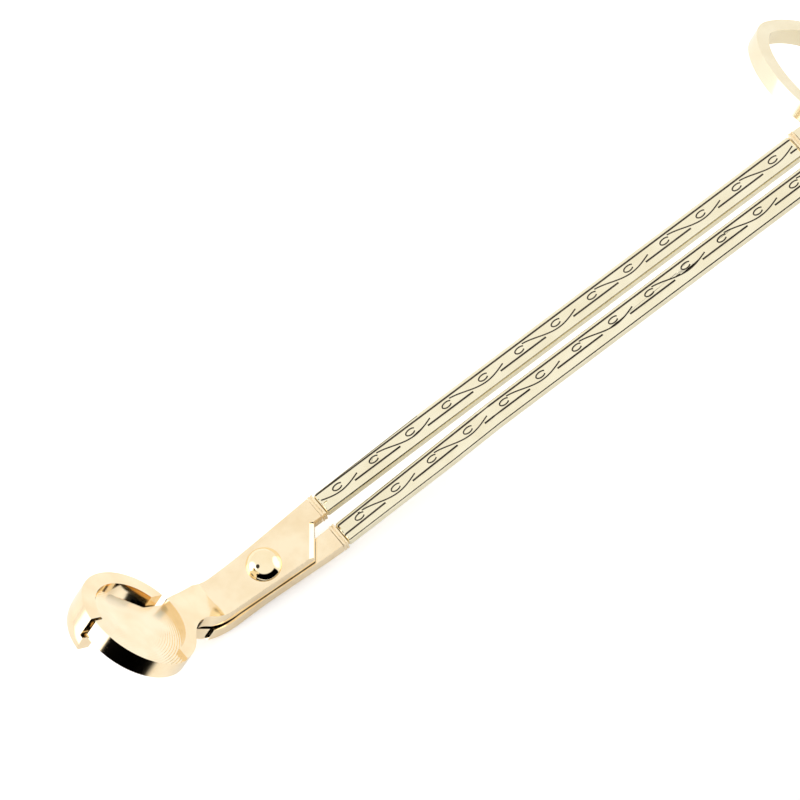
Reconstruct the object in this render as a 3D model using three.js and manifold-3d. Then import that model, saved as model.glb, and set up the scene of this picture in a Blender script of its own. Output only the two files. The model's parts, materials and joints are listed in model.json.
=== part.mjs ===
// Wick trimmer: two cranked brass levers on one rivet, with a round dished jaw,
// a hook jaw that shears against it, engraved handle bars and turned-down finger rings.
//
// The tool is drawn in its own frame: X runs from the pivot to the finger rings, Z is square
// to the flat of the levers, and the pivot axis meets the upper lever's top face at the origin.
// The finished group is pitched so that it stands the way the tool lies on a table.
import * as THREE from 'three';
import { mergeVertices } from 'three/addons/utils/BufferGeometryUtils.js';
import Module from 'manifold-3d';

const wasm = await Module();
wasm.setup();

// Driving dimensions, in millimetres and degrees.
const THICKNESS = 2.4;              // both levers, plates and bars
const LEVER_GAP = 0.3;              // between the two plates at the pivot
const FIT = 0.1;                    // between pieces that are brazed or riveted together
const REST_PITCH = 4.633;           // how far the bars rise towards the rings on a table

const BEND_X = -9.8;                // corner of the neck bend on the upper lever's top face
const HEAD_TILT = 46;               // the jaws' plane against the bars
const HEAD_REACH = 20.4;            // bend corner to the centre of the jaws
const BEND_RADIUS = 3.5;
const NECK_STUB = 3;                // length of neck made with the bend
const NECK_Y = [-3.4, 3.9];         // edges of the neck at the bend
const NECK_OVERLAP = 1.4;           // how far a jaw's own neck runs into that stub

const TRAY_FLARE = [8.6, -5.9];     // direction in which the round wall meets the neck
const TRAY_DEPTH = 3.5;             // height of the round jaw's wall
const TRAY_CENTRE = [0.8, -0.2];
const TRAY_RADIUS = 10.4;
const TRAY_SLOPE = 0.07;            // fall of the tray floor
const TRAY_FALL = [0.85, 0.53];     // direction of that fall
const TRAY_FLUSH = 10.2;            // distance from the centre to where floor and rim are level
const RIM_CENTRE = [0.6, 0.8];      // the arc that the raised rim follows
const RIM_RADIUS = 9.2;
const RIM_END_X = 3.4;              // the rim runs out here

const HOOK_CENTRE = [-0.3, 0.3];
const HOOK_RADIUS = 10.1;
const HOOK_BORE = 7.5;
const HOOK_SHELF = 6.5;             // inner radius under the round jaw's edge
const HOOK_HEIGHT = 6.7;
const HOOK_FRONT = 0.9;             // front end of the hook's foot
const HOOK_FOOT = [[0.9, 0], [0.45, 0.6], [0.15, 1.6], [0, 2.8]];   // wall inset and height
const HOOK_HEEL = 3.3;              // half width left open on the neck side
const CHEEK_FRONT = 1.65;           // front end of its wall, beside the round jaw
const SHELF_TOP = -3.8;
const LOWER_NECK_TOP = -3;

const BAR_START = 13.8;
const BAR_END = 115;
const BAR_INNER = 0.75;             // both bars, from the middle plane
const BAR_OUTER = 5.2;
const STUB_OUTER = 4.5;             // outer edge where the lower plate turns into the bar
const BAR_ROOT = 4.8;               // outer edge at the collar, where the bars are narrower
const TAPER_END = 36;

const SHOULDER = [[11, BAR_INNER], [7.3, -4.15]];   // slanted end of each pivot plate
const SHOULDER_CHAMFER = 0.7;
const RAMP_START = 9.6;             // the lower bar climbs from here ...
const RAMP_END = 46;                // ... to the level of the upper bar here

const COLLAR_LENGTH = 0.95;
const BEAD_PROUD = 0.1;
const BEAD_LENGTH = 0.38;

const RING_BEND_X = 118.2;
const RING_DROP = 40;               // the rings' plane against the bars
const RING_BEND_RADIUS = 2.5;       // inside of the bend
const RING_CENTRE = [10.2, 13.85];
const RING_HALF = 13;               // across the tool
const RING_NEAR = 7.7;              // from the centre back to the bend side
const RING_FAR = 14;                // from the centre to the free end
const RING_BAND = 2.4;
const RING_LEVELS = [-2.9, 0.5];    // lower and upper face of the band
const SHANK_START = 3;
const SHANK_FILLET = [[6, 7], [4.3, 7.6], [3.5, 6.2]];

const RIVET_RADIUS = 1.8;
const RIVET_CLEARANCE = 0.09;
const DOME_RADIUS = 3.1;
const DOME_HEIGHT = 2;
const WASHER = { radius: 3.3, thickness: 0.6 };
const TAIL = { radius: 2.6, height: 0.8 };
const SHIM_RADIUS = 3.5;

const FINE = 96;                    // facets round a full jaw
const COARSE = 48;                  // facets round small pieces
const rad = THREE.MathUtils.degToRad;

// Solids ---------------------------------------------------------------------------------

// Turns a closed three.js geometry into a solid, dropping the flat slivers at a lathe's poles.
function solid(geometry, matrix = new THREE.Matrix4()) {
  const bare = geometry.clone().applyMatrix4(matrix);
  bare.deleteAttribute('normal');
  bare.deleteAttribute('uv');
  const merged = mergeVertices(bare, 1e-5);
  const corners = merged.index.array;
  const kept = [];
  for (let i = 0; i < corners.length; i += 3) {
    const [a, b, c] = corners.slice(i, i + 3);
    if (a !== b && b !== c && c !== a) kept.push(a, b, c);
  }
  const positions = merged.attributes.position;
  let volume = 0;
  const p = [new THREE.Vector3(), new THREE.Vector3(), new THREE.Vector3()];
  for (let i = 0; i < kept.length; i += 3) {
    p.forEach((point, k) => point.fromBufferAttribute(positions, kept[i + k]));
    volume += p[0].dot(p[1].clone().cross(p[2]));
  }
  if (volume < 0) kept.reverse();
  return new wasm.Manifold(new wasm.Mesh({
    numProp: 3,
    vertProperties: new Float32Array(positions.array),
    triVerts: new Uint32Array(kept),
  }));
}

// A mesh of the finished solid.
function mesh(name, shape, look) {
  const { vertProperties, triVerts } = shape.getMesh();
  const geometry = new THREE.BufferGeometry();
  geometry.setAttribute('position', new THREE.BufferAttribute(new Float32Array(vertProperties), 3));
  geometry.setIndex(new THREE.BufferAttribute(new Uint32Array(triVerts), 1));
  geometry.computeVertexNormals();
  const piece = new THREE.Mesh(geometry, new THREE.MeshStandardMaterial(look));
  piece.name = name;
  return piece;
}

const union = (...solids) => solids.reduce((sum, next) => sum.add(next));

// A flat outline, either [x, y] corners or a Shape, raised from one level to another.
function prism(outline, from, to, matrix) {
  const shape = outline instanceof THREE.Shape
    ? outline
    : new THREE.Shape(outline.map(([x, y]) => new THREE.Vector2(x, y)));
  const geometry = new THREE.ExtrudeGeometry(shape, {
    depth: to - from, bevelEnabled: false, curveSegments: FINE / 4,
  });
  geometry.translate(0, 0, from);
  return solid(geometry, matrix);
}

// A side view in X and Z, spread across the width of the tool.
function sideSlab(shape, from, to) {
  const upright = new THREE.Matrix4().makeRotationX(Math.PI / 2);
  upright.premultiply(new THREE.Matrix4().makeTranslation(0, to + from, 0));
  return prism(shape, from, to, upright);
}

// A profile of [radius, height] points turned about Z.
function turned(profile, segments, matrix) {
  const closed = profile.map(([r, z]) => new THREE.Vector2(r, z));
  if (profile[0][0] > 0) closed.push(closed[0].clone());
  const geometry = new THREE.LatheGeometry(closed, segments);
  geometry.rotateX(Math.PI / 2);
  return solid(geometry, matrix);
}

function box(low, high, matrix) {
  const size = high.map((value, axis) => value - low[axis]);
  const geometry = new THREE.BoxGeometry(...size);
  geometry.translate(...high.map((value, axis) => (value + low[axis]) / 2));
  return solid(geometry, matrix);
}

const disc = (radius, from, to, matrix) =>
  turned([[0, from], [radius, from], [radius, to], [0, to]], FINE, matrix);

// The same piece on the other side of the middle plane.
const mirrored = (shape) => shape.mirror([0, 1, 0]);

// Places ---------------------------------------------------------------------------------

// The jaws' own frame: x points back to the pivot, z is square to the rim, origin at the centre.
const neckUp = [-Math.cos(rad(HEAD_TILT)), Math.sin(rad(HEAD_TILT))];
const headFrame = new THREE.Matrix4().makeRotationY(rad(HEAD_TILT)).setPosition(
  BEND_X + HEAD_REACH * neckUp[0], 0, HEAD_REACH * neckUp[1],
);
// A finger ring's frame: x runs down the slope from the bend, z is square to the band.
const ringFrame = new THREE.Matrix4().makeRotationY(rad(RING_DROP)).setPosition(RING_BEND_X, 0, 0);

// The side view of a strip that is level from start, then bends and runs on at an angle.
// The bend sits where the level top face meets the other top face, in the given direction.
function bentStrip(start, corner, turn, radius, top, reach) {
  const towards = Math.sign(corner - start);
  const up = Math.sign(turn);
  const angle = rad(Math.abs(turn));
  const run = [towards * Math.cos(angle), up * Math.sin(angle)];
  const square = [-up * towards * Math.sin(angle), Math.cos(angle)];
  const tangent = (up > 0 ? radius : radius + THICKNESS) * Math.tan(angle / 2);
  const centre = [corner - towards * tangent, top + (up > 0 ? radius : -radius - THICKNESS)];
  const at = (offset, level) => [corner + run[0] * offset + square[0] * level,
    top + run[1] * offset + square[1] * level];
  const topRadius = up > 0 ? radius : radius + THICKNESS;
  const lowRadius = up > 0 ? radius + THICKNESS : radius;
  const from = -up * Math.PI / 2;
  const to = from + up * towards * angle;
  const shape = new THREE.Shape();
  shape.moveTo(start, top);
  shape.lineTo(centre[0], top);
  shape.absarc(...centre, topRadius, from, to, up * towards < 0);
  shape.lineTo(...at(reach, 0));
  shape.lineTo(...at(reach, -THICKNESS));
  shape.absarc(...centre, lowRadius, to, from, up * towards > 0);
  shape.lineTo(start, top - THICKNESS);
  return shape;
}

// Blades ---------------------------------------------------------------------------------

const rivetHole = disc(RIVET_RADIUS + RIVET_CLEARANCE, -20, 20);

// Pivot plate, short bar stub and the first stretch of neck, seen from above.
function platePlan() {
  const plan = new THREE.Shape();
  plan.moveTo(BAR_START - COLLAR_LENGTH - 2 * FIT, BAR_INNER);
  plan.lineTo(...SHOULDER[0]);
  plan.lineTo(...SHOULDER[1]);
  plan.splineThru([[2, -3.9], [-4, -3.6], [-8, NECK_Y[0]]].map((p) => new THREE.Vector2(...p)));
  plan.lineTo(BEND_X - 3 * NECK_STUB, NECK_Y[0]);
  plan.lineTo(BEND_X - 3 * NECK_STUB, NECK_Y[1]);
  plan.lineTo(-8, NECK_Y[1]);
  plan.splineThru([[-3, 3.95], [4, 4.3], [9, 4.6]].map((p) => new THREE.Vector2(...p)));
  plan.lineTo(BAR_START - COLLAR_LENGTH - 2 * FIT, BAR_ROOT);
  return plan;
}

function neckPlate(top, neckTop, radius) {
  const tilt = rad(HEAD_TILT);
  const corner = BEND_X + (neckTop - top * Math.cos(tilt)) / Math.sin(tilt);
  const strip = bentStrip(BAR_START, corner, HEAD_TILT, radius, top, NECK_STUB);
  return sideSlab(strip, -20, 20).intersect(prism(platePlan(), -30, 30));
}

// The round jaw with its neck, seen square to the rim.
function trayOutline() {
  const outline = new THREE.Shape();
  const neckX = HEAD_REACH - NECK_STUB + NECK_OVERLAP;
  const tangentAngle = Math.atan2(TRAY_FLARE[1], TRAY_FLARE[0]);
  outline.moveTo(neckX, NECK_Y[1]);
  outline.lineTo(neckX, NECK_Y[0]);
  outline.lineTo(HEAD_REACH - NECK_STUB, NECK_Y[0]);
  outline.bezierCurveTo(15, -2.6, 12.2, -3, TRAY_CENTRE[0] + TRAY_RADIUS * Math.cos(tangentAngle),
    TRAY_CENTRE[1] + TRAY_RADIUS * Math.sin(tangentAngle));
  outline.absarc(...TRAY_CENTRE, TRAY_RADIUS, tangentAngle, -Math.PI * 1.045, true);
  outline.lineTo(-7.42, 1.36);
  outline.absarc(...HOOK_CENTRE, HOOK_BORE - LEVER_GAP, rad(171.5), rad(103), true);
  outline.lineTo(4.4, 2.35);
  outline.lineTo(9.2, 2.3);
  outline.lineTo(11.3, 2.75);
  outline.quadraticCurveTo(14.5, 3.2, HEAD_REACH - NECK_STUB, NECK_Y[1]);
  return outline;
}

function tray() {
  const outline = trayOutline();
  const neck = prism(outline, -THICKNESS, 0);
  const jaw = prism(outline, -TRAY_DEPTH, 0).intersect(
    disc(TRAY_RADIUS + 0.3, -TRAY_DEPTH - 1, 1, new THREE.Matrix4().makeTranslation(...TRAY_CENTRE, 0)),
  );
  const square = new THREE.Vector3(TRAY_SLOPE * TRAY_FALL[0], TRAY_SLOPE * TRAY_FALL[1], 1).normalize();
  const downhill = new THREE.Vector3(...TRAY_FALL, -TRAY_SLOPE).normalize();
  const floor = new THREE.Matrix4().makeBasis(downhill, square.clone().cross(downhill), square)
    .setPosition(-TRAY_FLUSH * TRAY_FALL[0], -TRAY_FLUSH * TRAY_FALL[1], 0);
  const aboveFloor = box([-40, -40, 0], [40, 40, 20], floor);
  const insideRim = union(
    disc(RIM_RADIUS, -10, 10, new THREE.Matrix4().makeTranslation(...RIM_CENTRE, 0)),
    box([-20, -20, -10], [RIM_END_X, 20, 10]),
  );
  return union(neck, jaw).subtract(aboveFloor.intersect(insideRim)).transform(headFrame.elements);
}

function shoulderChamfer() {
  const along = new THREE.Vector3(SHOULDER[0][0] - SHOULDER[1][0], SHOULDER[0][1] - SHOULDER[1][1], 0);
  const length = along.length();
  along.normalize();
  const up = new THREE.Vector3(0, 0, 1);
  const outward = up.clone().cross(along).negate();
  const frame = new THREE.Matrix4().makeBasis(outward, up, outward.clone().cross(up))
    .setPosition(SHOULDER[1][0], SHOULDER[1][1], 0);
  const size = SHOULDER_CHAMFER;
  const spare = 3;
  const corner = [[0.01, 0.01], [0.01, -size], [-size, 0.01]];
  return prism(corner, -length, spare, frame);
}

function upperBlade() {
  return union(neckPlate(0, 0, BEND_RADIUS), tray()).subtract(rivetHole).subtract(shoulderChamfer());
}

// The hook: a turned wall over a wider foot, open towards the round jaw's side.
function hook() {
  const place = new THREE.Matrix4().makeTranslation(...HOOK_CENTRE, 0);
  const foot = -HOOK_HEIGHT;
  const wall = turned([
    [HOOK_SHELF, foot], ...HOOK_FOOT.map(([inset, rise]) => [HOOK_RADIUS - inset, foot + rise]),
    [HOOK_RADIUS, 0], [HOOK_BORE, 0], [HOOK_BORE, SHELF_TOP], [HOOK_SHELF, SHELF_TOP],
  ], FINE, place);
  const kept = (front, heel, top) => prism(
    [[-20, front], [0, front], [0, heel], [20, heel], [20, 20], [-20, 20]], -10, top,
  );
  const cheek = kept(CHEEK_FRONT, HOOK_HEEL, 1);
  const round = kept(HOOK_FRONT, -HOOK_HEEL, SHELF_TOP);
  return wall.intersect(union(cheek, round));
}

function lowerNeck() {
  const bridge = HEAD_REACH - NECK_STUB + NECK_OVERLAP;
  const neck = prism([[11.8, -3.1], [14.6, -2.8], [HEAD_REACH - NECK_STUB, NECK_Y[0]],
    [bridge, NECK_Y[0]], [bridge, NECK_Y[1]], [HEAD_REACH - NECK_STUB, NECK_Y[1]], [11.8, 3.4]],
  LOWER_NECK_TOP - THICKNESS, LOWER_NECK_TOP);
  const root = prism([[8, -3.3], [10, -3.3], [11.8, -3.1], [11.8, 3.4], [10, 4], [8, 4.4]],
    -HOOK_HEIGHT + 0.5, SHELF_TOP);
  return union(neck, root);
}

// The lower bar's side view: level under the upper plate, then climbing beside it.
function lowerRise(from, to) {
  const low = -THICKNESS - LEVER_GAP;
  const level = (x) => low * (1 - THREE.MathUtils.clamp((x - RAMP_START) / (RAMP_END - RAMP_START), 0, 1));
  const stations = [from, RAMP_START, RAMP_END, to].filter((x) => x >= from && x <= to);
  const top = stations.map((x) => [x, level(x)]);
  const bottom = stations.map((x) => [x, level(x) - THICKNESS]).reverse();
  return new THREE.Shape([...top, ...bottom].map((p) => new THREE.Vector2(...p)));
}

function lowerBlade() {
  const low = -THICKNESS - LEVER_GAP;
  const stubEnd = BAR_START - COLLAR_LENGTH - 2 * FIT;
  const plate = mirrored(neckPlate(low, LOWER_NECK_TOP, BEND_RADIUS + THICKNESS + LEVER_GAP)
    .intersect(box([-40, -20, -30], [RAMP_START, 20, 30])));
  const stub = sideSlab(lowerRise(RAMP_START - 2, stubEnd), -BAR_OUTER, -BAR_INNER)
    .intersect(prism([[RAMP_START - 2, -STUB_OUTER], [stubEnd, -BAR_ROOT], [stubEnd, -BAR_INNER],
      [RAMP_START - 2, -BAR_INNER]], -10, 10));
  const head = union(hook(), lowerNeck()).transform(headFrame.elements);
  return union(plate, stub, head).subtract(rivetHole);
}

// Bars, collars and rings ----------------------------------------------------------------

const barPlan = [[BAR_START, BAR_INNER], [BAR_END, BAR_INNER], [BAR_END, BAR_OUTER],
  [TAPER_END, BAR_OUTER], [BAR_START, BAR_ROOT]];

const upperBar = () => prism(barPlan, -THICKNESS, 0);

const lowerBar = () => sideSlab(lowerRise(BAR_START, BAR_END), -20, 20)
  .intersect(mirrored(prism(barPlan, -30, 30)));

// Two beads side by side round the bar on one side of the middle, at the level of its top.
function collar(x, side, top, outer) {
  const middle = [x + FIT, x + FIT + COLLAR_LENGTH];
  const [nearY, farY] = side > 0 ? [BAR_INNER, outer] : [-outer, -BAR_INNER];
  const ring = (from, to, proud) => box(
    [from, nearY - proud, top - THICKNESS - proud],
    [to, farY + proud, top + proud],
  );
  return union(
    ring(middle[0], middle[1], 0),
    ring(middle[0], middle[0] + BEAD_LENGTH, BEAD_PROUD),
    ring(middle[1] - BEAD_LENGTH, middle[1], BEAD_PROUD),
  );
}

// The egg-shaped outline of a ring, drawn in by an inset.
const ringOutline = (inset) => Array.from({ length: FINE }, (_, i) => {
  const angle = 2 * Math.PI * i / FINE;
  const along = Math.cos(angle) > 0 ? RING_FAR : RING_NEAR;
  return [RING_CENTRE[0] + (along - inset) * Math.cos(angle),
    RING_CENTRE[1] + (RING_HALF - inset) * Math.sin(angle)];
});

const ringBand = () => prism(ringOutline(0), ...RING_LEVELS)
  .subtract(prism(ringOutline(RING_BAND), RING_LEVELS[0] - 1, RING_LEVELS[1] + 1));

// The shank that carries a ring, running out into the band.
const ringShank = () => prism([[SHANK_START, BAR_INNER], [RING_CENTRE[0], BAR_INNER + 0.1],
  [RING_CENTRE[0], BAR_INNER + RING_BAND], ...SHANK_FILLET, [SHANK_START, BAR_OUTER]], -THICKNESS, 0)
  .subtract(prism(ringOutline(RING_BAND), -THICKNESS - 1, 1));

function fingerRing() {
  const start = BAR_END + COLLAR_LENGTH + 2 * FIT;
  const strip = sideSlab(bentStrip(start, RING_BEND_X, -RING_DROP, RING_BEND_RADIUS, 0, 4),
    BAR_INNER, BAR_OUTER);
  return union(strip, union(ringBand(), ringShank()).transform(ringFrame.elements));
}

// Pivot ----------------------------------------------------------------------------------

const stackBottom = -2 * THICKNESS - LEVER_GAP;
const washerBottom = stackBottom - FIT - WASHER.thickness;

function rivet() {
  const sphere = (DOME_RADIUS ** 2 + DOME_HEIGHT ** 2) / (2 * DOME_HEIGHT);
  const rimAngle = Math.asin(DOME_RADIUS / sphere);
  const steps = 16;
  const dome = Array.from({ length: steps + 1 }, (_, i) => {
    const angle = rimAngle * (1 - i / steps);
    return [sphere * Math.sin(angle), FIT + DOME_HEIGHT - sphere * (1 - Math.cos(angle))];
  });
  dome[steps][0] = 0;
  const tailTop = washerBottom - FIT;
  return turned([
    [0, tailTop - TAIL.height], [TAIL.radius * 0.7, tailTop - TAIL.height],
    [TAIL.radius, tailTop - TAIL.height * 0.45], [TAIL.radius, tailTop],
    [RIVET_RADIUS, tailTop], [RIVET_RADIUS, FIT], ...dome,
  ], COARSE);
}

const washer = (radius, from, to) => turned([
  [RIVET_RADIUS + RIVET_CLEARANCE, from], [radius, from], [radius, to],
  [RIVET_RADIUS + RIVET_CLEARANCE, to],
], COARSE);

// Assembly -------------------------------------------------------------------------------

const PLATED = { color: 0xf3dcb0, metalness: 1, roughness: 0.14 };
const ENGRAVED = { color: 0xf0deb6, metalness: 1, roughness: 0.24 };
const MIRROR = { color: 0xf6e2b8, metalness: 1, roughness: 0.06 };

const frontCollarX = BAR_START - COLLAR_LENGTH - 2 * FIT;
const frontCollarTop = (-THICKNESS - LEVER_GAP)
  * (1 - (BAR_START - COLLAR_LENGTH / 2 - FIT - RAMP_START) / (RAMP_END - RAMP_START));

const tool = new THREE.Group();
tool.add(
  mesh('upper_blade', upperBlade(), PLATED),
  mesh('upper_front_collar', collar(frontCollarX, 1, 0, BAR_ROOT), PLATED),
  mesh('upper_handle', upperBar(), ENGRAVED),
  mesh('upper_rear_collar', collar(BAR_END, 1, 0, BAR_OUTER), PLATED),
  mesh('upper_finger_ring', fingerRing(), PLATED),
  mesh('lower_blade', lowerBlade(), PLATED),
  mesh('lower_front_collar', collar(frontCollarX, -1, frontCollarTop, BAR_ROOT), PLATED),
  mesh('lower_handle', lowerBar(), ENGRAVED),
  mesh('lower_rear_collar', collar(BAR_END, -1, 0, BAR_OUTER), PLATED),
  mesh('lower_finger_ring', mirrored(fingerRing()), PLATED),
  mesh('pivot_rivet', rivet(), MIRROR),
  mesh('rivet_washer', washer(WASHER.radius, washerBottom, stackBottom - FIT), PLATED),
  mesh('pivot_shim', washer(SHIM_RADIUS, -THICKNESS - LEVER_GAP + 0.05, -THICKNESS - 0.05), PLATED),
);

// Pitched to its rest on a table, with the origin under the middle of its box.
const trimmer = new THREE.Group();
trimmer.add(tool);
tool.rotation.y = -rad(REST_PITCH);
trimmer.updateMatrixWorld(true);
const bounds = new THREE.Box3().setFromObject(trimmer, true);
const centre = bounds.getCenter(new THREE.Vector3());
tool.position.set(-centre.x, -centre.y, -bounds.min.z);

export default trimmer;
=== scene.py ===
"""The visual model of the wick trimmer: pale gold plating, engraved bars and a mirror rivet."""

import json
import math

import bmesh
import bpy
from mathutils import Matrix, Vector


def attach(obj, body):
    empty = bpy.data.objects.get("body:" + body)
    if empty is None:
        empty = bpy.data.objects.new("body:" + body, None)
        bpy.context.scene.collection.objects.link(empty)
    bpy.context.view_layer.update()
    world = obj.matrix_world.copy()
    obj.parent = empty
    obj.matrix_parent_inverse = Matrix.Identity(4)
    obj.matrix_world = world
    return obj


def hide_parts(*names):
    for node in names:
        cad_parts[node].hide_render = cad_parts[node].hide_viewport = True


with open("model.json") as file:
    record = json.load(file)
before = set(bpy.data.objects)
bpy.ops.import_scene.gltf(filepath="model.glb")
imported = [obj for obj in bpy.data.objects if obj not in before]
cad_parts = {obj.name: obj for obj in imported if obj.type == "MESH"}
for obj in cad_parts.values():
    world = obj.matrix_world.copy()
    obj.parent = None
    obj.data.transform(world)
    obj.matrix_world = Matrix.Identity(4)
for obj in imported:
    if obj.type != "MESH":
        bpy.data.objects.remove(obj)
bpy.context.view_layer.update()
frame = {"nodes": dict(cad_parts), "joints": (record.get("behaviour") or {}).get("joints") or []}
scene = bpy.context.scene
scene.view_settings.view_transform = "Standard"

MM = 0.001

# The tool's own frame: X along the bars, Z square to them, origin on the pivot axis at the
# upper lever's top face. Lengths in it are millimetres.
pivot = frame["joints"][0]
tool_up = Vector(pivot["axis"]).normalized()
tool_side = Vector((0, 1, 0))
tool_along = tool_side.cross(tool_up)
TOOL = Matrix.Translation(pivot["pos_m"]) @ Matrix(
    (tool_along, tool_side, tool_up)
).transposed().to_4x4() @ Matrix.Scale(MM, 4)
FROM_TOOL = TOOL.inverted()

# Lever dimensions that the engraving follows, in millimetres.
THICKNESS = 2.4
LOWER_DROP = 2.7
RAMP = (9.6, 46.0)
BAR_SPAN = (13.8, 115.0)
HEAD_TILT = math.radians(46)
HEAD_CENTRE = Vector((-23.97, 0, 14.67))
BODY = {"upper": "upper_lever", "lower": "lower_lever"}


def bar_level(side, x):
    """Height of a bar's top face: the lower bar climbs from under the upper plate."""
    if side == "upper":
        return 0.0
    share = (x - RAMP[0]) / (RAMP[1] - RAMP[0])
    return -LOWER_DROP * (1 - min(max(share, 0.0), 1.0))


# Camera ---------------------------------------------------------------------------------

VIEW_RIGHT = Vector((0.791, -0.6003, -0.1187))      # in the tool's frame
VIEW_UP = Vector((0.5932, 0.7047, 0.3893))
PIVOT_OFFSET = (22.7, 27.4)                         # frame centre from the pivot, millimetres
FIELD_WIDTH = 133.3
LENS = 600.0
SENSOR = 36.0
CLIP = (0.1, 20.0)


def make_camera():
    turn = TOOL.to_3x3()
    right = (turn @ VIEW_RIGHT).normalized()
    up = (turn @ VIEW_UP).normalized()
    up = (up - right * up.dot(right)).normalized()
    back = right.cross(up)
    camera = bpy.data.cameras.new("camera")
    camera.lens = LENS
    camera.sensor_width = SENSOR
    distance = FIELD_WIDTH * MM * LENS / SENSOR
    centre = TOOL @ Vector((0, 0, 0)) + (right * PIVOT_OFFSET[0] + up * PIVOT_OFFSET[1]) * MM
    placed = bpy.data.objects.new("camera", camera)
    scene.collection.objects.link(placed)
    basis = Matrix((right, up, back)).transposed().to_4x4()
    placed.matrix_world = Matrix.Translation(centre + back * distance) @ basis
    camera.clip_start, camera.clip_end = CLIP
    scene.camera = placed


make_camera()


# Materials ------------------------------------------------------------------------------

def node(tree, kind, **settings):
    made = tree.nodes.new(kind)
    for key, value in settings.items():
        setattr(made, key, value)
    return made


def wire(tree, source, target):
    tree.links.new(source, target)


def noise(tree, vector, scale, detail, stretch=(1, 1, 1)):
    mapping = node(tree, "ShaderNodeMapping")
    mapping.inputs["Scale"].default_value = stretch
    wire(tree, vector, mapping.inputs["Vector"])
    made = node(tree, "ShaderNodeTexNoise")
    made.inputs["Scale"].default_value = scale
    made.inputs["Detail"].default_value = detail
    wire(tree, mapping.outputs["Vector"], made.inputs["Vector"])
    return made.outputs["Fac"]


def ramp(tree, factor, low, high, start=0.0, full=1.0):
    made = node(tree, "ShaderNodeMapRange")
    made.inputs["From Min"].default_value = start
    made.inputs["From Max"].default_value = full
    made.inputs["To Min"].default_value = low
    made.inputs["To Max"].default_value = high
    wire(tree, factor, made.inputs["Value"])
    return made.outputs["Result"]


MIX_FACTOR, MIX_FIRST, MIX_SECOND, MIX_COLOUR = 0, 6, 7, 2      # the colour mix's sockets


def mixed(tree, factor, first, second):
    made = node(tree, "ShaderNodeMix", data_type="RGBA")
    made.inputs[MIX_FIRST].default_value = (*first, 1)
    made.inputs[MIX_SECOND].default_value = (*second, 1)
    wire(tree, factor, made.inputs[MIX_FACTOR])
    return made.outputs[MIX_COLOUR]


# Noise scales are per metre: mottled patches of about 5 mm, wipe marks and hairlines.
MOTTLE_SCALE = 210
MOTTLE_RANGE = (0.36, 0.66)         # the span of the noise that runs from one tint to the other
WIPE_SCALE = 220
WIPE_STRETCH = (0.25, 1.6, 1.6)
WIPE_GLOSS = (0.6, 1.5)             # least and most roughness, as a share of the material's own
HAIR_SCALE = 1500
HAIR_STRETCH = (0.06, 1, 1)
BUMP_DEPTH = 0.0001
GRIND_WOBBLE = 0.6


def bumped(tree, height, strength, below=None):
    """A bump from a height, on top of another normal if one is given."""
    made = node(tree, "ShaderNodeBump")
    made.inputs["Strength"].default_value = strength
    made.inputs["Distance"].default_value = BUMP_DEPTH
    wire(tree, height, made.inputs["Height"])
    if below:
        wire(tree, below, made.inputs["Normal"])
    return made.outputs["Normal"]


def grinding(tree, place, centre, scale):
    """The height of ground arcs round a centre."""
    shift = node(tree, "ShaderNodeMapping")
    shift.inputs["Location"].default_value = tuple(-x for x in centre)
    wire(tree, place, shift.inputs["Vector"])
    marks = node(tree, "ShaderNodeTexWave", wave_type="RINGS", rings_direction="SPHERICAL")
    marks.inputs["Scale"].default_value = scale
    marks.inputs["Distortion"].default_value = GRIND_WOBBLE
    wire(tree, shift.outputs["Vector"], marks.inputs["Vector"])
    return marks.outputs["Fac"]


def plated(name, tint, deep, roughness, scratches=0.02, grind=None):
    """Polished plating: mottled colour, soft wipe marks in the gloss and hairline scratches."""
    material = bpy.data.materials.new(name)
    material.use_nodes = True
    tree = material.node_tree
    shader = tree.nodes["Principled BSDF"]
    shader.inputs["Metallic"].default_value = 1.0
    place = node(tree, "ShaderNodeTexCoord").outputs["Object"]
    drift = ramp(tree, noise(tree, place, MOTTLE_SCALE, 5), 0, 1, *MOTTLE_RANGE)
    wire(tree, mixed(tree, drift, tint, deep), shader.inputs["Base Color"])
    wipes = noise(tree, place, WIPE_SCALE, 5, WIPE_STRETCH)
    least, most = (roughness * share for share in WIPE_GLOSS)
    wire(tree, ramp(tree, wipes, least, most), shader.inputs["Roughness"])
    normal = bumped(tree, noise(tree, place, HAIR_SCALE, 2, HAIR_STRETCH), scratches)
    if grind:
        arcs = grinding(tree, place, grind["centre"], grind["scale"])
        normal = bumped(tree, arcs, grind["strength"], normal)
    wire(tree, normal, shader.inputs["Normal"])
    return material


def head_point(x, y, z):
    """A point given in the jaws' frame, in the row frame."""
    turn = Matrix.Rotation(HEAD_TILT, 3, "Y")
    return TOOL @ (HEAD_CENTRE + turn @ Vector((x, y, z)))


GOLD = plated("pale_gold", (0.98, 0.83, 0.58), (0.91, 0.73, 0.47), 0.10)
BAR_GOLD = plated("bar_gold", (0.91, 0.84, 0.63), (0.86, 0.78, 0.56), 0.14, 0.05)
RING_GOLD = plated("ring_gold", (0.92, 0.83, 0.62), (0.88, 0.78, 0.56), 0.09)
RIVET_GOLD = plated("rivet_gold", (0.97, 0.84, 0.58), (0.94, 0.78, 0.50), 0.03, 0.01)
TRAY_GOLD = plated("tray_gold", (0.98, 0.84, 0.61), (0.91, 0.74, 0.49), 0.12, 0.03,
                   {"centre": head_point(-4.0, 3.0, 0), "scale": 700, "strength": 0.28})


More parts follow.
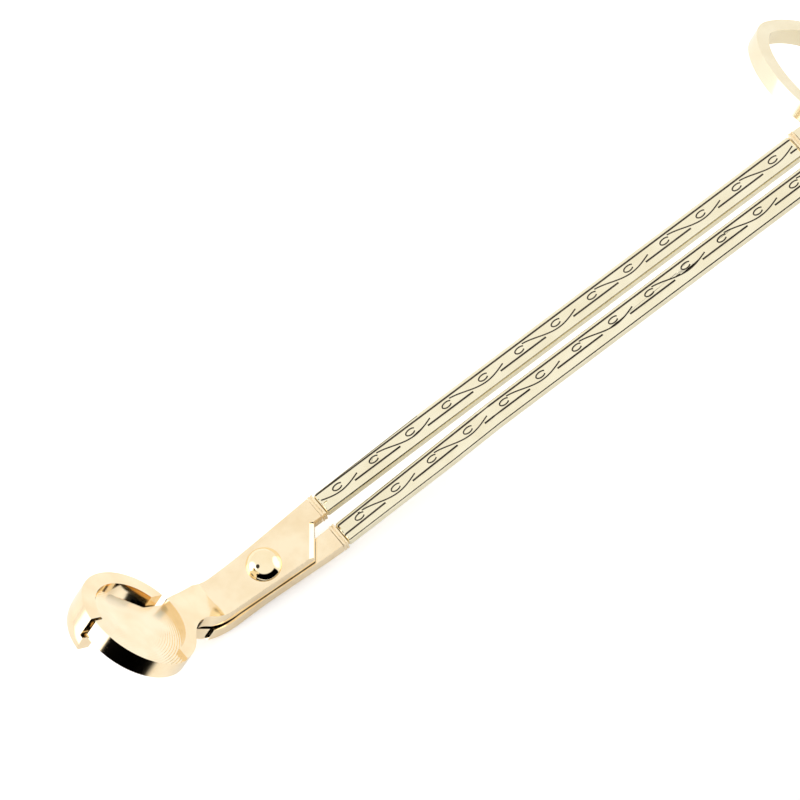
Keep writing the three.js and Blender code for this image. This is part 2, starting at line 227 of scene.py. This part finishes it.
def patina():
    material = bpy.data.materials.new("engraving_patina")
    material.use_nodes = True
    tree = material.node_tree
    shader = tree.nodes["Principled BSDF"]
    shader.inputs["Metallic"].default_value = 0.6
    shader.inputs["Roughness"].default_value = 0.5
    place = node(tree, "ShaderNodeTexCoord").outputs["Object"]
    patches = noise(tree, place, 700, 2)
    wire(tree, mixed(tree, patches, (0.015, 0.015, 0.017), (0.11, 0.085, 0.05)),
         shader.inputs["Base Color"])
    return material


PATINA = patina()


# Pieces ---------------------------------------------------------------------------------

MERGE = 0.02                        # millimetres; closer corners become one
FLAT = math.radians(0.5)            # faces closer to one plane than this are joined
ROUNDED = math.radians(34)          # edges sharper than this are rounded
BROAD_FACE = 12.0                   # square millimetres
CREASE = 0.9998                     # cosine between two broad faces that meet at a line

def baked(piece):
    """The piece's mesh with its modifiers applied."""
    graph = bpy.context.evaluated_depsgraph_get()
    mesh = bpy.data.meshes.new_from_object(piece.evaluated_get(graph))
    piece.modifiers.clear()
    piece.data = mesh
    return piece


def refined(cad, material, edge, steps=3):
    """The CAD piece's surface, cleaned, with its edges rounded by the given radius in mm."""
    work = bmesh.new()
    work.from_mesh(frame["nodes"][cad].data)
    bmesh.ops.remove_doubles(work, verts=work.verts, dist=MERGE * MM)
    bmesh.ops.dissolve_degenerate(work, edges=work.edges, dist=MERGE * MM * 0.5)
    bmesh.ops.dissolve_limit(work, angle_limit=FLAT, verts=work.verts, edges=work.edges)
    mesh = bpy.data.meshes.new(cad)
    work.to_mesh(mesh)
    work.free()
    for polygon in mesh.polygons:
        polygon.use_smooth = True
    mesh.materials.append(material)
    piece = bpy.data.objects.new(cad + "_surface", mesh)
    scene.collection.objects.link(piece)
    rounding = piece.modifiers.new("rounding", "BEVEL")
    rounding.width = edge * MM
    rounding.segments = steps
    rounding.limit_method = "ANGLE"
    rounding.angle_limit = ROUNDED
    rounding.use_clamp_overlap = True
    return piece


def settled(piece):
    """Flat faces read flat and rounded edges read round."""
    mesh = baked(piece).data
    for polygon in mesh.polygons:
        polygon.use_smooth = True
    broad = {}
    for polygon in mesh.polygons:
        if polygon.area > BROAD_FACE * MM * MM:
            for key in polygon.edge_keys:
                broad.setdefault(key, []).append(polygon.normal)
    for edge in mesh.edges:
        pair = broad.get(tuple(sorted(edge.vertices)), ())
        edge.use_edge_sharp = len(pair) == 2 and pair[0].dot(pair[1]) < CREASE
    weights = piece.modifiers.new("normals", "WEIGHTED_NORMAL")
    weights.keep_sharp = True
    weights.weight = 80
    return baked(piece)


def put(piece, cad, side):
    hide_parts(cad)
    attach(piece, BODY[side])
    return piece


FLOOR_FACING = 0.98                 # least z of a floor face's normal, in the jaws' frame
FLOOR_SUNK = 0.02                   # millimetres under the rim
FLOOR_REACH = 12                    # millimetres from the jaws' centre


def dish(blade):
    """The ground finish on the round jaw's sunken floor."""
    blade.data.materials.append(TRAY_GOLD)
    to_head = (Matrix.Translation(HEAD_CENTRE) @ Matrix.Rotation(HEAD_TILT, 4, "Y")).inverted()
    turn = to_head.to_3x3() @ FROM_TOOL.to_3x3()
    for polygon in blade.data.polygons:
        at = to_head @ (FROM_TOOL @ polygon.center)
        facing = (turn @ polygon.normal).normalized()
        if facing.z > FLOOR_FACING and at.z < -FLOOR_SUNK and at.xy.length < FLOOR_REACH:
            polygon.material_index = 1


# Engraving --------------------------------------------------------------------------------

LINE_LIFT = 0.05
BORDER = 0.17                       # half widths of the lines; each is about as deep as that
FINE_LINE = 0.13
BAND = {"upper": (2.25, 4.35), "lower": (-3.55, -1.5)}      # the two border lines
WAVE_LENGTH = 15.4                                          # two scrolls to a wave
VINE_RUN = (-0.44, 0.26)                                    # share of a wave about its trough
FIRST_TROUGH = {"upper": 18.0, "lower": 25.6}
FIRST_SCROLL = 18.0
GAP_HALF = 2.9                      # the border stops where the vine runs along it
END_PLAIN = 0.62                    # no patina this close to a bar's ends
BORDER_INSET = 0.15                 # from a bar's ends to the border
SHORTEST_DASH = 0.8
VINE_INSET = 0.2
VINE_CLEAR = 0.4                    # between the vine's crests and the upper border
CURL_TURNS = (28, 300, 16)          # a curl's first angle, its sweep in degrees, and its steps
CURL_HALF = (0.98, 0.5)             # along and across the bar
CURL_DROP = 0.08
CURL_TAIL = (12, 4, 0.2)            # step where a curl starts to close in, over how many, how far
STROKE_MARGIN = 0.3                 # the patina reaches this far past the border lines


def groove(work, points, side, half):
    """Adds one closed diamond-section tube along points on a bar's top face."""
    rings = []
    for index, (x, y) in enumerate(points):
        ahead = points[min(index + 1, len(points) - 1)]
        behind = points[max(index - 1, 0)]
        run = Vector((ahead[0] - behind[0], ahead[1] - behind[1])).normalized()
        across = Vector((-run.y, run.x)) * half
        z = bar_level(side, x)
        ring = [(x + across.x, y + across.y, z), (x, y, z - half),
                (x - across.x, y - across.y, z), (x, y, z + LINE_LIFT)]
        rings.append([work.verts.new(TOOL @ Vector(corner)) for corner in ring])
    for first, second in zip(rings, rings[1:]):
        for k in range(4):
            work.faces.new((first[k], first[(k + 1) % 4], second[(k + 1) % 4], second[k]))
    work.faces.new(list(reversed(rings[0])))
    work.faces.new(rings[-1])


def span(start, end, step):
    count = max(2, int(round((end - start) / step)) + 1)
    return [start + (end - start) * i / (count - 1) for i in range(count)]


def border_strokes(side):
    low, high = BAND[side]
    start, end = BAR_SPAN[0] + BORDER_INSET, BAR_SPAN[1] - BORDER_INSET
    strokes = [[(x, high) for x in span(start, end, 4)]]
    trough = FIRST_TROUGH[side] - WAVE_LENGTH
    x = start
    while x < end:
        stop = min(trough - GAP_HALF, end)
        if stop - x > SHORTEST_DASH:
            strokes.append([(s, low) for s in span(x, stop, 2)])
        x = max(trough + GAP_HALF, start)
        trough += WAVE_LENGTH
    return strokes


def vine_strokes(side):
    """A long shallow wave that touches the lower border and stops short of the upper one."""
    low, high = BAND[side]
    middle, reach = (low + high - VINE_CLEAR) / 2, (high - low - VINE_CLEAR) / 2
    strokes = []
    trough = FIRST_TROUGH[side] - WAVE_LENGTH
    while trough < BAR_SPAN[1] + WAVE_LENGTH:
        points = []
        for offset in span(WAVE_LENGTH * VINE_RUN[0], WAVE_LENGTH * VINE_RUN[1], 0.35):
            x = trough + offset
            if BAR_SPAN[0] + VINE_INSET < x < BAR_SPAN[1] - VINE_INSET:
                phase = 2 * math.pi * offset / WAVE_LENGTH
                points.append((x, middle - reach * math.cos(phase)))
        if len(points) > 3:
            strokes.append(points)
        trough += WAVE_LENGTH
    return strokes


def scroll_strokes(side):
    """Small open curls, one at each half wave, opening towards the finger ring."""
    middle = sum(BAND[side]) / 2 - CURL_DROP
    first_angle, sweep, steps = CURL_TURNS
    tail, tail_steps, closing = CURL_TAIL
    strokes = []
    x = FIRST_SCROLL
    while x < BAR_SPAN[1] - 1.5:
        points = []
        for step in range(steps + 1):
            turn = math.radians(first_angle + sweep * step / steps)
            shrink = 1 - closing * max(0, step - tail) / tail_steps
            points.append((x + CURL_HALF[0] * shrink * math.cos(turn),
                           middle + CURL_HALF[1] * shrink * math.sin(turn)))
        strokes.append(points)
        x += WAVE_LENGTH / 2
    return strokes


def engrave(piece, side):
    cutters = []
    lines = ((border_strokes(side), BORDER), (scroll_strokes(side), FINE_LINE),
             (vine_strokes(side), FINE_LINE))
    for strokes, half in lines:
        work = bmesh.new()
        for points in strokes:
            groove(work, points, side, half)
        bmesh.ops.recalc_face_normals(work, faces=work.faces)
        mesh = bpy.data.meshes.new("cutter")
        work.to_mesh(mesh)
        work.free()
        cutter = bpy.data.objects.new("cutter", mesh)
        scene.collection.objects.link(cutter)
        cutters.append(cutter)
        cut = piece.modifiers.new("engraving", "BOOLEAN")
        cut.operation = "DIFFERENCE"
        cut.object = cutter
        cut.solver = "MANIFOLD"
    baked(piece)
    for cutter in cutters:
        bpy.data.objects.remove(cutter)
    piece.data.materials.clear()
    piece.data.materials.append(BAR_GOLD)
    piece.data.materials.append(PATINA)
    low, high = BAND[side]
    start, end = BAR_SPAN[0] + END_PLAIN, BAR_SPAN[1] - END_PLAIN
    for polygon in piece.data.polygons:
        polygon.material_index = 0
        at = FROM_TOOL @ polygon.center
        depth = bar_level(side, at.x) - at.z
        inside = low - STROKE_MARGIN < at.y < high + STROKE_MARGIN and start < at.x < end
        if inside and 0.01 < depth < BORDER + 0.02:
            polygon.material_index = 1
    return piece


# Roundings of the edges, in millimetres.
BAR_EDGE = 0.55
COLLAR_EDGE = 0.1
RING_EDGE = 0.45
BLADE_EDGE = 0.3
RIVET_EDGE = 0.12

for side in ("upper", "lower"):
    bar = baked(refined(side + "_handle", BAR_GOLD, BAR_EDGE, 6))
    put(settled(engrave(bar, side)), side + "_handle", side)
    for place in ("_front_collar", "_rear_collar"):
        ring = refined(side + place, GOLD, COLLAR_EDGE)
        put(settled(ring), side + place, side)
    loop = refined(side + "_finger_ring", RING_GOLD, RING_EDGE, 4)
    put(settled(loop), side + "_finger_ring", side)
    blade = settled(refined(side + "_blade", GOLD, BLADE_EDGE))
    if side == "upper":
        dish(blade)
    put(blade, side + "_blade", side)

for cad in ("pivot_rivet", "rivet_washer"):
    put(settled(refined(cad, RIVET_GOLD, RIVET_EDGE)), cad, "lower")
frame["nodes"]["pivot_shim"].data.materials.clear()
frame["nodes"]["pivot_shim"].data.materials.append(RIVET_GOLD)


# Stage ----------------------------------------------------------------------------------

OPENING = (-0.45, -0.89, 0)         # the side on which the tent is open
# Two lamps and a dark stand in the tent: direction, cosines of the soft edge, change of level.
PATCHES = (((-0.892, 0.42, 0.154), 0.80, 0.90, 1.0), ((0.916, -0.3, 0.246), 0.87, 0.93, 0.8),
           ((-0.626, 0.17, 0.759), 0.975, 0.985, -0.95))
OPENING_EDGE = (0.40, 0.47)         # cosines of the opening's soft sides
OPENING_TOP = (0.40, 0.50)          # heights on the unit sphere of its soft top and bottom
OPENING_FOOT = (-0.58, -0.44)
TENT_STRENGTH = 1.04
FLOOR = (-0.12, 0.3, -0.036, 0.3)   # the table top, from x to x and from y to y
FLOOR_LIFT = 0.35                   # glow that the camera alone sees, so the table reads white


def fade(tree, value, start, full):
    """0 below start and 1 above full, with soft ends."""
    made = node(tree, "ShaderNodeMapRange", interpolation_type="SMOOTHSTEP")
    made.inputs["From Min"].default_value = start
    made.inputs["From Max"].default_value = full
    wire(tree, value, made.inputs["Value"])
    return made.outputs["Result"]


def maths(tree, operation, first, second):
    made = node(tree, "ShaderNodeMath", operation=operation)
    for socket, value in zip(made.inputs, (first, second)):
        if isinstance(value, (int, float)):
            socket.default_value = value
        else:
            wire(tree, value, socket)
    return made.outputs["Value"]


def make_floor():
    material = bpy.data.materials.new("floor")
    material.use_nodes = True
    tree = material.node_tree
    shader = tree.nodes["Principled BSDF"]
    shader.inputs["Roughness"].default_value = 0.9
    shader.inputs["Emission Color"].default_value = (1, 1, 1, 1)
    path = node(tree, "ShaderNodeLightPath")
    wire(tree, maths(tree, "MULTIPLY", path.outputs["Is Camera Ray"], FLOOR_LIFT),
         shader.inputs["Emission Strength"])
    place = node(tree, "ShaderNodeTexCoord").outputs["Object"]
    wire(tree, mixed(tree, noise(tree, place, 30, 2), (0.87, 0.87, 0.87), (0.91, 0.91, 0.91)),
         shader.inputs["Base Color"])
    work = bmesh.new()
    west, east, south, north = FLOOR
    work.faces.new([work.verts.new((x, y, 0)) for x, y in (
        (west, south), (east, south), (east, north), (west, north))])
    mesh = bpy.data.meshes.new("floor")
    work.to_mesh(mesh)
    work.free()
    mesh.materials.append(material)
    floor = bpy.data.objects.new("floor", mesh)
    scene.collection.objects.link(floor)


def area_light(name, location, target, size, power):
    light = bpy.data.lights.new(name, "AREA")
    light.shape = "RECTANGLE"
    light.size, light.size_y = size
    light.energy = power
    placed = bpy.data.objects.new(name, light)
    scene.collection.objects.link(placed)
    placed.visible_glossy = False
    placed.location = location
    placed.rotation_euler = (Vector(target) - Vector(location)).to_track_quat("-Z", "Y").to_euler()


def make_world():
    """A bright tent, open to the dark room on the near side, as polished metal needs."""
    world = bpy.data.worlds.new("studio")
    scene.world = world
    world.use_nodes = True
    tree = world.node_tree
    background = tree.nodes["Background"]
    place = node(tree, "ShaderNodeTexCoord").outputs["Generated"]
    towards = node(tree, "ShaderNodeVectorMath", operation="DOT_PRODUCT")
    towards.inputs[1].default_value = Vector(OPENING).normalized()
    wire(tree, place, towards.inputs[0])
    height = node(tree, "ShaderNodeSeparateXYZ")
    wire(tree, place, height.inputs[0])
    level = height.outputs["Z"]
    inside = fade(tree, towards.outputs["Value"], *OPENING_EDGE)
    under = maths(tree, "SUBTRACT", 1, fade(tree, level, *OPENING_TOP))
    over = fade(tree, level, *OPENING_FOOT)
    dark = maths(tree, "MULTIPLY", maths(tree, "MULTIPLY", inside, under), over)
    bright = maths(tree, "SUBTRACT", 1, dark)
    for direction, start, full, change in PATCHES:
        patch = node(tree, "ShaderNodeVectorMath", operation="DOT_PRODUCT")
        patch.inputs[1].default_value = Vector(direction).normalized()
        wire(tree, place, patch.inputs[0])
        amount = maths(tree, "MULTIPLY", fade(tree, patch.outputs["Value"], start, full), change)
        bright = maths(tree, "MULTIPLY", bright, maths(tree, "ADD", 1, amount))
    path = node(tree, "ShaderNodeLightPath")
    seen = maths(tree, "MAXIMUM", bright, path.outputs["Is Camera Ray"])
    wire(tree, seen, background.inputs["Color"])
    background.inputs["Strength"].default_value = TENT_STRENGTH


make_floor()
make_world()
area_light("key", location=(-0.3, 0.5, 0.9), target=(0, 0, 0), size=(0.9, 0.9), power=3.6)
